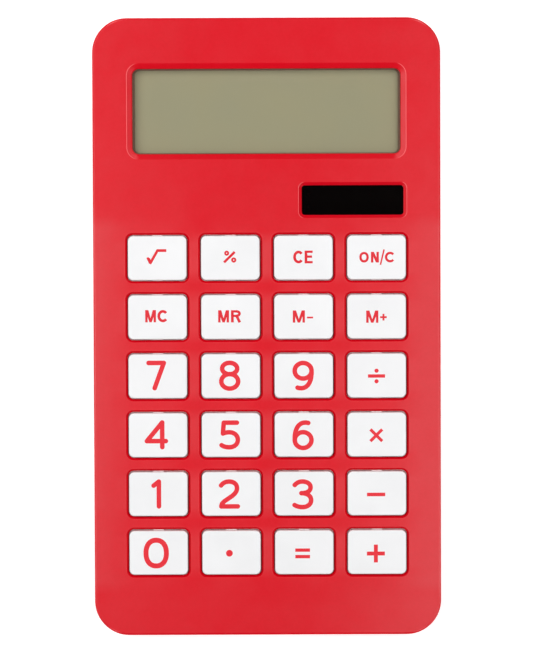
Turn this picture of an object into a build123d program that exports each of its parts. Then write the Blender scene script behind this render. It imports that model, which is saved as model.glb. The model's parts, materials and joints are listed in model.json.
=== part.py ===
from build123d import *
import os
from math import cos, radians, sin, tan

# Desk calculator: a slim two-shell housing with a gently sloping top face, an
# LCD behind a clear lens, a solar cell, 24 moving keys over a rubber dome mat
# and circuit board, and a button cell under a sliding door. Millimetres.
# +Z is up, +Y points away from the user, and the origin is on the desk under
# the middle of the housing. "Depth" is measured square to the sloping top face.

# ---------------------------------------------------------------- housing
body_width = 100.0
body_length = 177.5
corner_radius = 10.0
foot_height = 1.0            # how far the feet hold the housing off the desk
front_height = 9.5           # desk to top face at the front edge
face_tilt = 2.0              # degrees, rising away from the user
split_height = 5.2           # parting line between the two shells
wall = 2.0
floor_thickness = 1.6
shell_draft = 1.0            # degrees, upper shell
tray_draft = 8.0             # degrees, lower shell
top_edge_radius = 0.65
tray_edge_radius = 1.8
seam_chamfer = 0.25
lip_thickness = 0.85         # tongue of the tray inside the upper shell
lip_height = 1.2
lip_inset = 1.1
fit_gap = 0.15

# ---------------------------------------------------------------- keys
columns, rows = 4, 6
pitch_x, pitch_y = 20.95, 16.95
first_row_y = -64.8          # nearest row to the user, along the face
cap_width, cap_length = 16.95, 12.8
cap_corner = 1.6
cap_draft = 1.5              # degrees
cap_edge_radius = 0.3
cap_wall = 1.2
key_proud = 0.8
key_travel = 1.0
flange_width, flange_length = 19.3, 15.2
flange_corner = 2.6
flange_top, flange_bottom = 2.1, 2.9
opening_width, opening_length = 17.3, 13.3
opening_corner = 1.6
rim_width, rim_depth = 0.6, 0.85   # chamfer round each opening
nub_width, nub_proud, nub_height = 3.0, 0.15, 1.1
plunger_radius = 2.8
key_names = [
    ["key_0", "key_point", "key_equals", "key_plus"],
    ["key_1", "key_2", "key_3", "key_minus"],
    ["key_4", "key_5", "key_6", "key_multiply"],
    ["key_7", "key_8", "key_9", "key_divide"],
    ["key_memory_clear", "key_memory_recall", "key_memory_minus", "key_memory_plus"],
    ["key_square_root", "key_percent", "key_clear_entry", "key_on_clear"],
]

# ---------------------------------------------------------------- keypad stack
web_top = 4.6                # rubber mat between its domes
board_top = 5.2
board_thickness = 1.2
board_width, board_length = 84.6, 115.5
board_centre_y = -16.75
mat_width, mat_length = 84.6, 103.4
dome_top = 3.05
dome_base_radius, dome_top_radius = 5.0, 3.3
dome_inner_base, dome_inner_top = 4.4, 2.6
dome_roof = 0.5
pill_radius, pill_thickness = 2.0, 0.4
pill_gap = 1.1               # pill to board, just over the key travel
pad_radius, pad_gap, pad_thickness = 2.4, 0.4, 0.04
rib_thickness = 0.8
board_boss_radius = 1.9
board_screw_places = [
    (x, y)
    for x in (-pitch_x, pitch_x)
    for y in (11.475, -22.425, -56.325)
] + [(-36.0, 36.0), (4.0, 36.0)]

# ---------------------------------------------------------------- display
window_x, window_y = 0.0, 61.9
window_width, window_length, window_corner = 76.8, 24.3, 1.9
bevel_width, bevel_depth = 1.6, 0.7
window_rim_radius = 0.45
window_lip_radius = 0.35
lens_width, lens_length, lens_thickness = 80.8, 29.0, 1.2
glass_width, glass_length, glass_thickness = 81.0, 32.5, 0.7
glass_y = window_y - 1.5     # the contact ledge is at the near edge
ledge = 2.5
polariser_depth, polariser_thickness = 3.4, 0.2
reflector_thickness = 0.3
pocket_gap = 0.3
pocket_wall = 1.2
retainer_thickness = 1.2
retainer_width, retainer_length = 92.0, 30.0
retainer_screw_x, retainer_screw_y = 43.8, 11.5
ribbon_width, ribbon_thickness = 60.0, 0.15

# ---------------------------------------------------------------- solar cell
solar_x, solar_y = 24.65, 36.4
solar_width, solar_length, solar_corner = 29.2, 8.5, 0.9
solar_bevel_width, solar_bevel_depth = 0.9, 0.6
solar_rim_radius = 0.3
solar_lens_width, solar_lens_length = 31.2, 10.4
solar_lens_depth, solar_lens_thickness = 1.2, 0.8
solar_cell_thickness = 1.1

# ---------------------------------------------------------------- fasteners
case_screw_places = [(x, y) for x in (-42.0, 42.0) for y in (-82.6, 82.6)] + [
    (-44.0, 31.5),
    (44.0, 31.5),
]
boss_radius = 3.0
boss_meet = 4.0              # height at which upper and lower bosses meet
screw_seat = 2.8
screw_recess_radius = 2.6
screw_head_radius, screw_head_height = 2.2, 1.3
screw_shank_radius, screw_length = 1.1, 4.4
pilot_radius = 1.15
board_screw_head_radius, board_screw_head_height = 1.8, 0.9
board_screw_shank_radius, board_screw_length = 0.8, 3.4
board_pilot_radius = 0.85

# ---------------------------------------------------------------- battery
door_width, door_front_y = 24.0, 62.0
door_tongue = 1.1
door_gap = 0.12
door_plate_top = 2.5
door_lip_top = 3.9
cell_radius, cell_height = 5.8, 3.1
cell_y, cell_bottom = 72.0, 2.75
box_wall = 1.2
box_ceiling_low, box_ceiling_high = 6.2, 6.9
cradle_wall = 1.2
contact_thickness = 0.25
contact_width = 3.4

# ---------------------------------------------------------------- feet, label
foot_radius, foot_recess = 4.0, 0.6
foot_places = {
    "foot_front_left": (-38.0, -68.0),
    "foot_front_right": (38.0, -68.0),
    "foot_rear_left": (-38.0, 70.0),
    "foot_rear_right": (38.0, 70.0),
}
label_width, label_length, label_thickness = 56.0, 30.0, 0.15
label_y = -8.0

# ---------------------------------------------------------------- derived
face_middle = front_height + body_length / 2 * tan(radians(face_tilt))
face_normal = Vector(0, -sin(radians(face_tilt)), cos(radians(face_tilt)))
upward = Axis((0, 0, 0), face_normal)
key_grid_y = first_row_y + (rows - 1) / 2 * pitch_y
board_bottom = board_top + board_thickness
glass_depth = polariser_depth + polariser_thickness
rear_glass_depth = glass_depth + glass_thickness
reflector_depth = rear_glass_depth + glass_thickness
retainer_depth = reflector_depth + reflector_thickness + 0.1
floor_top = foot_height + floor_thickness
rear_wall_y = body_length / 2
reach = 30.0                 # longer than the housing is tall, for cuts


def face(depth):
    """The plane parallel to the sloping top face, this far below it."""
    return Plane((0, 0, face_middle), x_dir=(1, 0, 0), z_dir=face_normal).offset(-depth)


def face_height(y, depth=0.0):
    """Height above the desk of the plane face(depth) at y."""
    return face_middle + (y * sin(radians(face_tilt)) - depth) / cos(radians(face_tilt))


def finish(piece, name):
    """Names a finished piece and writes it as one STEP file."""
    piece.part.label = name
    export_step(piece.part, f"parts/{name}.step")


def round_screw(plane, places, head_radius, head_height, shank_radius, length):
    """Pan-head screws driven along the plane's normal, heads on its near side."""
    with BuildPart() as screws:
        with BuildSketch(plane):
            with Locations(*places):
                Circle(head_radius)
        extrude(amount=-head_height)
        rims = screws.edges().filter_by(GeomType.CIRCLE)
        outer = [edge for edge in rims if plane.to_local_coords(edge.center()).Z < -0.1]
        fillet(outer, head_height * 0.45)
        with BuildSketch(plane):
            with Locations(*places):
                Circle(shank_radius)
        extrude(amount=length)
        tips = [
            edge
            for edge in screws.edges().filter_by(GeomType.CIRCLE)
            if plane.to_local_coords(edge.center()).Z > length - 0.1
        ]
        chamfer(tips, shank_radius * 0.5)
        with BuildSketch(plane.offset(-head_height)):
            with Locations(*places):
                Rectangle(head_radius * 1.15, head_radius * 0.26)
                Rectangle(head_radius * 0.26, head_radius * 1.15)
        extrude(amount=head_height * 0.65, mode=Mode.SUBTRACT)
    return screws


def wire(route, radius, bends):
    """A round insulated lead along straight runs joined by arcs."""
    with BuildPart() as lead:
        with BuildLine() as path:
            FilletPolyline(*route, radius=bends)
        with BuildSketch(Plane(path.line @ 0, z_dir=path.line % 0)):
            Circle(radius)
        sweep()
    return lead


os.makedirs("parts", exist_ok=True)

# ================================================================ top case
with BuildPart() as upper_cavity:
    with BuildSketch(Plane.XY.offset(split_height)):
        RectangleRounded(
            body_width - 2 * wall, body_length - 2 * wall, corner_radius - wall
        )
    extrude(amount=reach, taper=shell_draft)
    split(bisect_by=face(wall), keep=Keep.BOTTOM)

with BuildPart() as top_case:
    # outer form, with its soft top edge and a fine chamfer at the seam
    with BuildSketch(Plane.XY.offset(split_height)):
        RectangleRounded(body_width, body_length, corner_radius)
    extrude(amount=reach, taper=shell_draft)
    split(bisect_by=face(0), keep=Keep.BOTTOM)
    fillet(top_case.faces().sort_by(upward)[-1].edges(), top_edge_radius)
    chamfer(top_case.faces().sort_by(Axis.Z)[0].edges(), seam_chamfer)
    # key openings with chamfered rims
    with BuildSketch(face(0)):
        with Locations((0, key_grid_y)):
            with GridLocations(pitch_x, pitch_y, columns, rows):
                RectangleRounded(opening_width, opening_length, opening_corner)
    extrude(amount=-2 * wall, mode=Mode.SUBTRACT)
    top = top_case.faces().sort_by(upward)[-1]
    rims = [edge for rim in top.inner_wires() for edge in rim.edges()]
    chamfer(rims, rim_width, rim_depth, reference=top)
    add(upper_cavity.part, mode=Mode.SUBTRACT)
    # bevelled display window
    with BuildSketch(face(0)):
        with Locations((window_x, window_y)):
            RectangleRounded(
                window_width + 2 * bevel_width,
                window_length + 2 * bevel_width,
                window_corner + bevel_width,
            )
    with BuildSketch(face(bevel_depth)):
        with Locations((window_x, window_y)):
            RectangleRounded(window_width, window_length, window_corner)
    loft(mode=Mode.SUBTRACT)
    with BuildSketch(face(bevel_depth)):
        with Locations((window_x, window_y)):
            RectangleRounded(window_width, window_length, window_corner)
    extrude(amount=-wall, mode=Mode.SUBTRACT)
    # bevelled solar window, rebated from behind for its clear cover
    with BuildSketch(face(0)):
        with Locations((solar_x, solar_y)):
            RectangleRounded(
                solar_width + 2 * solar_bevel_width,
                solar_length + 2 * solar_bevel_width,
                solar_corner + solar_bevel_width,
            )
    with BuildSketch(face(solar_bevel_depth)):
        with Locations((solar_x, solar_y)):
            RectangleRounded(solar_width, solar_length, solar_corner)
    loft(mode=Mode.SUBTRACT)
    with BuildSketch(face(solar_bevel_depth)):
        with Locations((solar_x, solar_y)):
            RectangleRounded(solar_width, solar_length, solar_corner)
    extrude(amount=-wall, mode=Mode.SUBTRACT)
    with BuildSketch(face(solar_lens_depth)):
        with Locations((solar_x, solar_y)):
            Rectangle(solar_lens_width + 2 * fit_gap, solar_lens_length + 2 * fit_gap)
    extrude(amount=-wall, mode=Mode.SUBTRACT)
    # both windows' rims are longer than a key opening's
    rims = top_case.faces().sort_by(upward)[-1].inner_wires()
    solar_rim, window_rim = sorted(rims, key=lambda rim: rim.length)[-2:]
    fillet(window_rim.edges(), window_rim_radius)
    fillet(solar_rim.edges(), solar_rim_radius)
    level = face(bevel_depth)
    lip = [e for e in top_case.edges() if abs(level.to_local_coords(e.center()).Z) < 0.01]
    fillet(lip, window_lip_radius)
    # rebate that takes the tray's tongue
    with BuildSketch(Plane.XY.offset(split_height)):
        rebate = lip_inset - fit_gap
        RectangleRounded(
            body_width - 2 * rebate, body_length - 2 * rebate, corner_radius - rebate
        )
        RectangleRounded(
            body_width - 2 * wall - 1,
            body_length - 2 * wall - 1,
            corner_radius - wall,
            mode=Mode.SUBTRACT,
        )
    extrude(amount=lip_height + fit_gap, mode=Mode.SUBTRACT)
    # ribs between the keys press the rubber mat onto the board
    rib_depth = web_top - 0.05
    with BuildSketch(face(rib_depth)):
        with Locations((0, key_grid_y)):
            with GridLocations(pitch_x, 1, columns + 1, 1):
                Rectangle(rib_thickness, rows * pitch_y + rib_thickness)
            with GridLocations(1, pitch_y, 1, rows + 1):
                Rectangle(columns * pitch_x + rib_thickness, rib_thickness)
    extrude(amount=rib_depth - wall + 0.3)
    # walls of the pocket that holds the display glass
    pocket_depth = retainer_depth - 0.1
    with BuildSketch(face(pocket_depth)):
        with Locations((0, glass_y)):
            Rectangle(
                glass_width + 2 * pocket_gap + 2 * pocket_wall,
                glass_length + 2 * pocket_gap + 2 * pocket_wall,
            )
            Rectangle(
                glass_width + 2 * pocket_gap,
                glass_length + 2 * pocket_gap,
                mode=Mode.SUBTRACT,
            )
    extrude(amount=pocket_depth - wall + 0.3)
    with BuildSketch(face(pocket_depth)):
        with Locations((0, glass_y - glass_length / 2 - pocket_wall)):
            Rectangle(ribbon_width + 2, 3 * pocket_wall)
    extrude(amount=pocket_depth - 3.2, mode=Mode.SUBTRACT)
    # bosses for the retainer's and the board's screws
    with BuildSketch(face(pocket_depth)):
        with Locations((0, window_y)):
            with GridLocations(2 * retainer_screw_x, 2 * retainer_screw_y, 2, 2):
                Circle(board_boss_radius)
    extrude(amount=pocket_depth - wall + 0.3)
    with BuildSketch(face(board_top)):
        with Locations(*board_screw_places):
            Circle(board_boss_radius)
    extrude(amount=board_top - wall + 0.3)
    pilot_depth = 2.6
    with BuildSketch(face(pocket_depth)):
        with Locations((0, window_y)):
            with GridLocations(2 * retainer_screw_x, 2 * retainer_screw_y, 2, 2):
                Circle(board_pilot_radius)
    extrude(amount=pilot_depth, mode=Mode.SUBTRACT)
    with BuildSketch(face(board_top)):
        with Locations(*board_screw_places):
            Circle(board_pilot_radius)
    extrude(amount=pilot_depth, mode=Mode.SUBTRACT)
    # bosses for the case screws, each as long as the slope needs
    for x, y in case_screw_places:
        with BuildSketch(Plane.XY.offset(boss_meet)):
            with Locations((x, y)):
                Circle(boss_radius)
        extrude(amount=face_height(y, wall) - boss_meet + 0.3)
        with BuildSketch(Plane.XY.offset(boss_meet)):
            with Locations((x, y)):
                Circle(pilot_radius)
        extrude(amount=screw_seat + screw_length - boss_meet + 0.2, mode=Mode.SUBTRACT)
finish(top_case, "top_case")

# ================================================================ bottom case
with BuildPart() as tray_form:
    with BuildSketch(Plane.XY.offset(split_height)):
        RectangleRounded(body_width, body_length, corner_radius)
    extrude(amount=-(split_height - foot_height), taper=tray_draft)
    fillet(tray_form.faces().sort_by(Axis.Z)[0].edges(), tray_edge_radius)
    chamfer(tray_form.faces().sort_by(Axis.Z)[-1].edges(), seam_chamfer)

door_run = rear_wall_y - door_front_y
box_front_y, box_rear_y = door_front_y - 0.2, rear_wall_y - wall - 2.0
box_middle_y = (box_front_y + box_rear_y) / 2
box_length = box_rear_y - box_front_y
box_width = door_width + 2 * door_tongue + 0.4
door_lip_width = box_width + 0.2
groove_low, groove_high = 1.65, door_plate_top + door_gap

with BuildPart() as bottom_case:
    add(tray_form.part)
    with BuildSketch(Plane.XY.offset(floor_top)):
        RectangleRounded(
            body_width - 2 * wall, body_length - 2 * wall, corner_radius - wall
        )
    extrude(amount=reach, mode=Mode.SUBTRACT)
    # tongue that locates the upper shell
    with BuildSketch(Plane.XY.offset(floor_top)):
        RectangleRounded(
            body_width - 2 * lip_inset,
            body_length - 2 * lip_inset,
            corner_radius - lip_inset,
        )
        tongue_inside = lip_inset + lip_thickness
        RectangleRounded(
            body_width - 2 * tongue_inside,
            body_length - 2 * tongue_inside,
            corner_radius - tongue_inside,
            mode=Mode.SUBTRACT,
        )
    extrude(amount=split_height + lip_height - floor_top)
    # screw bosses, with the head recesses underneath
    with BuildSketch(Plane.XY.offset(floor_top - 0.2)):
        with Locations(*case_screw_places):
            Circle(screw_recess_radius + 0.9)
    extrude(amount=boss_meet - floor_top + 0.2)
    with BuildSketch(Plane.XY):
        with Locations(*case_screw_places):
            Circle(screw_recess_radius)
    extrude(amount=screw_seat, mode=Mode.SUBTRACT)
    with BuildSketch(Plane.XY):
        with Locations(*case_screw_places):
            Circle(screw_shank_radius + fit_gap)
    extrude(amount=boss_meet + 1, mode=Mode.SUBTRACT)
    # battery box, open underneath, with a round cradle for the cell
    with BuildSketch(Plane.XY.offset(floor_top - 0.2)):
        with Locations((0, box_middle_y)):
            Rectangle(box_width + 2 * box_wall, box_length + 2 * box_wall)
    extrude(amount=box_ceiling_high - floor_top + 0.2)
    with BuildSketch(Plane.XY.offset(floor_top - 0.2)):
        with Locations((0, rear_wall_y - wall - 0.5)):
            Rectangle(box_width + 2 * box_wall, 1.5)
    extrude(amount=split_height + lip_height - floor_top + 0.2)
    with BuildSketch(Plane.XY.offset(groove_high)):
        with Locations((0, box_middle_y)):
            Rectangle(door_width - 1, box_length)
    extrude(amount=box_ceiling_low - groove_high, mode=Mode.SUBTRACT)
    with BuildSketch(Plane.XY.offset(cell_bottom + 0.3)):
        with Locations((0, cell_y)):
            Circle(cell_radius + fit_gap + cradle_wall)
            Circle(cell_radius + fit_gap, mode=Mode.SUBTRACT)
            cradle_cut = 2 * (contact_width + 1.0)
            with Locations((0, -cell_radius), (cell_radius, 0)):
                Rectangle(cradle_cut / 2, cradle_cut / 2, mode=Mode.SUBTRACT)
    extrude(amount=box_ceiling_low - cell_bottom - 0.3 + 0.1)
    # the door's way in: plate, side grooves, and its lip through the rear wall
    way_length = door_run + 2
    way_middle_y = door_front_y + way_length / 2
    with BuildSketch(Plane.XY.offset(foot_height - 0.5)):
        with Locations((0, way_middle_y)):
            Rectangle(door_width, way_length)
    extrude(amount=groove_high - foot_height + 0.5, mode=Mode.SUBTRACT)
    with BuildSketch(Plane.XY.offset(groove_low)):
        with Locations((0, way_middle_y)):
            Rectangle(door_width + 2 * door_tongue, way_length)
    extrude(amount=groove_high - groove_low, mode=Mode.SUBTRACT)
    with BuildSketch(Plane.XY.offset(foot_height - 0.5)):
        with Locations((0, rear_wall_y)):
            Rectangle(door_lip_width, 2 * wall)
    extrude(amount=door_lip_top + door_gap - foot_height + 0.5, mode=Mode.SUBTRACT)
    # slots in the battery box for the two contacts' tails
    with BuildSketch(Plane.XY.offset(box_ceiling_low - contact_thickness - 0.1)):
        with Locations((0, box_front_y)):
            Rectangle(contact_width + 0.4, 4 * box_wall)
        with Locations((box_width / 2, cell_y)):
            Rectangle(4 * box_wall, contact_width + 0.4)
    extrude(amount=contact_thickness + 0.1, mode=Mode.SUBTRACT)
    # shallow recesses for the feet and the label
    with BuildSketch(Plane.XY.offset(foot_height)):
        with Locations(*foot_places.values()):
            Circle(foot_radius + fit_gap)
    extrude(amount=foot_recess, mode=Mode.SUBTRACT)
    with BuildSketch(Plane.XY.offset(foot_height)):
        with Locations((0, label_y)):
            RectangleRounded(label_width + 0.6, label_length + 0.6, 1.8)
    extrude(amount=label_thickness + 0.05, mode=Mode.SUBTRACT)
finish(bottom_case, "bottom_case")

# ================================================================ battery door
with BuildPart() as battery_door:
    add(tray_form.part)
    with BuildSketch(Plane.XY.offset(foot_height - 0.5)):
        with Locations((0, door_front_y + door_gap + door_run / 2)):
            Rectangle(door_width - 2 * door_gap, door_run)
        with Locations((0, rear_wall_y)):
            Rectangle(door_lip_width - 2 * door_gap, 2 * (wall - door_gap))
    extrude(amount=door_lip_top - foot_height + 0.5, mode=Mode.INTERSECT)
    # only the plate runs forward; the full height stays as the rear lip
    with BuildSketch(Plane.XY.offset(door_plate_top)):
        with Locations((0, rear_wall_y - wall + door_gap - 25)):
            Rectangle(body_width, 50)
    extrude(amount=reach, mode=Mode.SUBTRACT)
    tongue_low = groove_low + door_gap
    tongue_length = door_run - wall - 1
    with BuildSketch(Plane.XY.offset(tongue_low)):
        with Locations((0, door_front_y + door_gap + tongue_length / 2)):
            Rectangle(door_width + 2 * (door_tongue - door_gap), tongue_length)
    extrude(amount=door_plate_top - tongue_low)
    # thumb grip: grooves across the plate and an arrow that points outwards
    with BuildSketch(Plane.XY.offset(foot_height)):
        with Locations((0, 80.0)):
            with GridLocations(1, 1.5, 1, 4):
                SlotOverall(11.0, 0.8)
        with Locations((0, 73.0)):
            RegularPolygon(1.6, 3, rotation=90)
    extrude(amount=0.35, mode=Mode.SUBTRACT)
finish(battery_door, "battery_door")

# ================================================================ keys
for row, names in enumerate(key_names):
    for column, name in enumerate(names):
        place = (
            (column - (columns - 1) / 2) * pitch_x,
            first_row_y + row * pitch_y,
        )
        with BuildPart() as key:
            with BuildSketch(face(flange_top)):
                with Locations(place):
                    RectangleRounded(cap_width, cap_length, cap_corner)
            extrude(amount=flange_top + key_proud, taper=cap_draft)
            fillet(key.faces().sort_by(upward)[-1].edges(), cap_edge_radius)
            # guide nubs front and back keep the cap square in its opening
            with BuildSketch(face(flange_top)):
                with Locations(place):
                    Rectangle(nub_width, cap_length + 2 * nub_proud)
            extrude(amount=nub_height)
            with BuildSketch(face(flange_bottom)):
                with Locations(place):
                    RectangleRounded(flange_width, flange_length, flange_corner)
            extrude(amount=flange_bottom - flange_top)
            # hollow underside, with a plunger that meets the rubber dome
            with BuildSketch(face(flange_bottom)):
                with Locations(place):
                    RectangleRounded(
                        cap_width - 2 * cap_wall - 0.3,
                        cap_length - 2 * cap_wall - 0.3,
                        cap_corner - cap_wall / 2,
                    )
            extrude(
                amount=flange_bottom + key_proud - cap_wall, mode=Mode.SUBTRACT
            )
            plunger_depth = dome_top - 0.05
            with BuildSketch(face(plunger_depth)):
                with Locations(place):
                    Circle(plunger_radius)
            extrude(amount=plunger_depth + key_proud - cap_wall + 0.1)
            stiffener_depth = 1.6
            with BuildSketch(face(stiffener_depth)):
                with Locations(place):
                    Rectangle(cap_width - 2 * cap_wall, 0.8)
                    Rectangle(0.8, cap_length - 2 * cap_wall)
            extrude(amount=stiffener_depth + key_proud - cap_wall + 0.1)
        finish(key, name)

# ================================================================ rubber mat
with BuildPart(face(board_top)) as rubber_keypad:
    with BuildSketch(face(board_top)):
        with Locations((0, key_grid_y)):
            RectangleRounded(mat_width, mat_length, 3.0)
        with Locations(*board_screw_places[:-2]):
            Circle(board_boss_radius + 0.3, mode=Mode.SUBTRACT)
    extrude(amount=board_top - web_top)
    dome_height = web_top - dome_top
    with Locations((0, key_grid_y, board_top - web_top)):
        with GridLocations(pitch_x, pitch_y, columns, rows):
            Cone(
                dome_base_radius,
                dome_top_radius,
                dome_height,
                align=(Align.CENTER, Align.CENTER, Align.MIN),
            )
    inner_height = board_top - dome_top - dome_roof
    with Locations((0, key_grid_y)):
        with GridLocations(pitch_x, pitch_y, columns, rows):
            Cone(
                dome_inner_base,
                dome_inner_top,
                inner_height,
                align=(Align.CENTER, Align.CENTER, Align.MIN),
                mode=Mode.SUBTRACT,
            )
    # the post inside each dome that carries its conductive pill
    pill_top = board_top - pill_gap - pill_thickness
    with BuildSketch(face(pill_top)):
        with Locations((0, key_grid_y)):
            with GridLocations(pitch_x, pitch_y, columns, rows):
                Circle(pill_radius)
    extrude(amount=pill_top - dome_top - dome_roof + 0.1)
finish(rubber_keypad, "rubber_keypad")

with BuildPart() as contact_pills:
    with BuildSketch(face(pill_top)):
        with Locations((0, key_grid_y)):
            with GridLocations(pitch_x, pitch_y, columns, rows):
                Circle(pill_radius)
    extrude(amount=-pill_thickness)
finish(contact_pills, "contact_pills")

# ================================================================ circuit board
with BuildPart() as circuit_board:
    with BuildSketch(face(board_top)):
        with Locations((0, board_centre_y)):
            Rectangle(board_width, board_length)
        with Locations(*board_screw_places):
            Circle(board_screw_shank_radius + fit_gap, mode=Mode.SUBTRACT)
        with Locations(*case_screw_places):
            Circle(boss_radius + 0.5, mode=Mode.SUBTRACT)
    extrude(amount=-board_thickness)
finish(circuit_board, "circuit_board")

with BuildPart() as board_contacts:
    with BuildSketch(face(board_top)):
        with Locations((0, key_grid_y)):
            with GridLocations(pitch_x, pitch_y, columns, rows):
                Circle(pad_radius)
            with GridLocations(pitch_x, pitch_y, columns, rows):
                Rectangle(pad_gap, 2 * pad_radius + 1, mode=Mode.SUBTRACT)
    extrude(amount=pad_thickness)
finish(board_contacts, "board_contacts")

chip_place = (-14.0, 32.0)
chip_radius, chip_height = 6.0, 1.3
with BuildPart() as chip_cover:
    with BuildSketch(face(board_bottom)):
        with Locations(chip_place):
            Circle(chip_radius)
    extrude(amount=-chip_height)
    fillet(chip_cover.faces().sort_by(upward)[0].edges(), chip_height * 0.75)
finish(chip_cover, "chip_cover")

capacitor_radius, capacitor_length = 2.0, 7.0
capacitor_places = [(18.0, 30.0), (18.0, 36.0)]
with BuildPart() as board_capacitors:
    for x, y in capacitor_places:
        centre = face(board_bottom + capacitor_radius).from_local_coords((x, y, 0))
        with BuildSketch(Plane(centre, z_dir=(1, 0, 0))):
            Circle(capacitor_radius)
        extrude(amount=capacitor_length)
    ends = board_capacitors.edges().filter_by(GeomType.CIRCLE)
    fillet(ends, 0.3)
finish(board_capacitors, "board_capacitors")

resistor_radius, resistor_length = 0.9, 3.4
resistor_leg_radius, resistor_leg_reach = 0.25, 1.4
resistor_places = [(-34.0, 26.0), (-34.0, 30.0), (29.0, 33.0)]
with BuildPart() as board_resistors:
    for x, y in resistor_places:
        ends = (x - resistor_leg_reach, x + resistor_length + resistor_leg_reach)
        legs = face(board_bottom + resistor_radius + 0.1)
        with BuildLine() as leg_path:
            FilletPolyline(
                face(board_bottom).from_local_coords((ends[0], y, 0)),
                legs.from_local_coords((ends[0], y, 0)),
                legs.from_local_coords((ends[1], y, 0)),
                face(board_bottom).from_local_coords((ends[1], y, 0)),
                radius=0.5,
            )
        with BuildSketch(face(board_bottom)):
            with Locations((ends[0], y)):
                Circle(resistor_leg_radius)
        sweep(path=leg_path.line)
        with BuildSketch(Plane(legs.from_local_coords((x, y, 0)), z_dir=(1, 0, 0))):
            Circle(resistor_radius)
        extrude(amount=resistor_length)
finish(board_resistors, "board_resistors")

led_radius, led_length = 1.5, 3.6
led_centre = face(board_bottom + led_radius).from_local_coords((2.0, 26.0, 0))
with BuildPart() as limiter_led:
    with BuildSketch(Plane(led_centre, z_dir=(0, 1, 0))):
        Circle(led_radius)
    extrude(amount=led_length)
    fillet(limiter_led.faces().sort_by(Axis.Y)[-1].edges(), led_radius * 0.8)
finish(limiter_led, "limiter_led")

board_screws = round_screw(
    face(board_bottom),
    board_screw_places,
    board_screw_head_radius,
    board_screw_head_height,
    board_screw_shank_radius,
    board_screw_length,
)
finish(board_screws, "board_screws")

# ================================================================ display
with BuildPart() as display_lens:
    with BuildSketch(face(wall)):
        with Locations((0, window_y)):
            RectangleRounded(lens_width, lens_length, 1.0)
    extrude(amount=-lens_thickness)
    chamfer(display_lens.faces().sort_by(upward)[-1].edges(), 0.15)
finish(display_lens, "display_lens")

with BuildPart() as lcd_front_polariser:
    with BuildSketch(face(polariser_depth)):
        with Locations((0, glass_y + ledge / 2)):
            Rectangle(glass_width - 1.0, glass_length - ledge - 1.0)
    extrude(amount=-polariser_thickness)
finish(lcd_front_polariser, "lcd_front_polariser")

with BuildPart() as lcd_front_glass:
    with BuildSketch(face(glass_depth)):
        with Locations((0, glass_y)):
            Rectangle(glass_width, glass_length)
    extrude(amount=-glass_thickness)
finish(lcd_front_glass, "lcd_front_glass")

with BuildPart() as lcd_rear_glass:
    with BuildSketch(face(rear_glass_depth)):
        with Locations((0, glass_y + ledge / 2)):
            Rectangle(glass_width, glass_length - ledge)
    extrude(amount=-glass_thickness)
finish(lcd_rear_glass, "lcd_rear_glass")

with BuildPart() as lcd_reflector:
    with BuildSketch(face(reflector_depth)):
        with Locations((0, glass_y + ledge / 2)):
            Rectangle(glass_width - 1.0, glass_length - ledge - 1.0)
    extrude(amount=-reflector_thickness)
finish(lcd_reflector, "lcd_reflector")

with BuildPart() as display_retainer:
    with BuildSketch(face(retainer_depth)):
        with Locations((0, window_y)):
            RectangleRounded(retainer_width, retainer_length, 2.0)
            with GridLocations(28.0, 1, 3, 1):
                RectangleRounded(22.0, 16.0, 1.5, mode=Mode.SUBTRACT)
            with GridLocations(2 * retainer_screw_x, 2 * retainer_screw_y, 2, 2):
                Circle(board_screw_shank_radius + fit_gap, mode=Mode.SUBTRACT)
    extrude(amount=-retainer_thickness)
finish(display_retainer, "display_retainer")

retainer_screws = round_screw(
    face(retainer_depth + retainer_thickness),
    [
        (x, window_y + y)
        for x in (-retainer_screw_x, retainer_screw_x)
        for y in (-retainer_screw_y, retainer_screw_y)
    ],
    board_screw_head_radius,
    board_screw_head_height,
    board_screw_shank_radius,
    board_screw_length,
)
finish(retainer_screws, "retainer_screws")

# the ribbon runs from the glass ledge to the top of the board
ribbon_on_glass_y = glass_y - glass_length / 2
ribbon_on_board_y = board_centre_y + board_length / 2
ribbon_glass_depth = rear_glass_depth + ribbon_thickness / 2
ribbon_board_depth = board_top - ribbon_thickness / 2
with BuildPart() as display_ribbon:
    with BuildLine() as ribbon_path:
        FilletPolyline(
            face(ribbon_board_depth).from_local_coords((0, ribbon_on_board_y - 2.6, 0)),
            face(ribbon_board_depth).from_local_coords((0, ribbon_on_board_y + 0.4, 0)),
            face(ribbon_glass_depth).from_local_coords((0, ribbon_on_glass_y - 0.6, 0)),
            face(ribbon_glass_depth).from_local_coords((0, ribbon_on_glass_y + 2.1, 0)),
            radius=0.8,
        )
    with BuildSketch(Plane(ribbon_path.line @ 0, x_dir=(1, 0, 0), z_dir=ribbon_path.line % 0)):
        Rectangle(ribbon_width, ribbon_thickness)
    sweep()
finish(display_ribbon, "display_ribbon")

# ================================================================ solar cell
with BuildPart() as solar_lens:
    with BuildSketch(face(solar_lens_depth)):
        with Locations((solar_x, solar_y)):
            Rectangle(solar_lens_width, solar_lens_length)
    extrude(amount=-solar_lens_thickness)
finish(solar_lens, "solar_lens")

solar_cell_depth = solar_lens_depth + solar_lens_thickness
with BuildPart() as solar_cell:
    with BuildSketch(face(solar_cell_depth)):
        with Locations((solar_x, solar_y)):
            Rectangle(solar_lens_width - 0.4, solar_lens_length - 0.4)
    extrude(amount=-solar_cell_thickness)
finish(solar_cell, "solar_cell")

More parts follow.
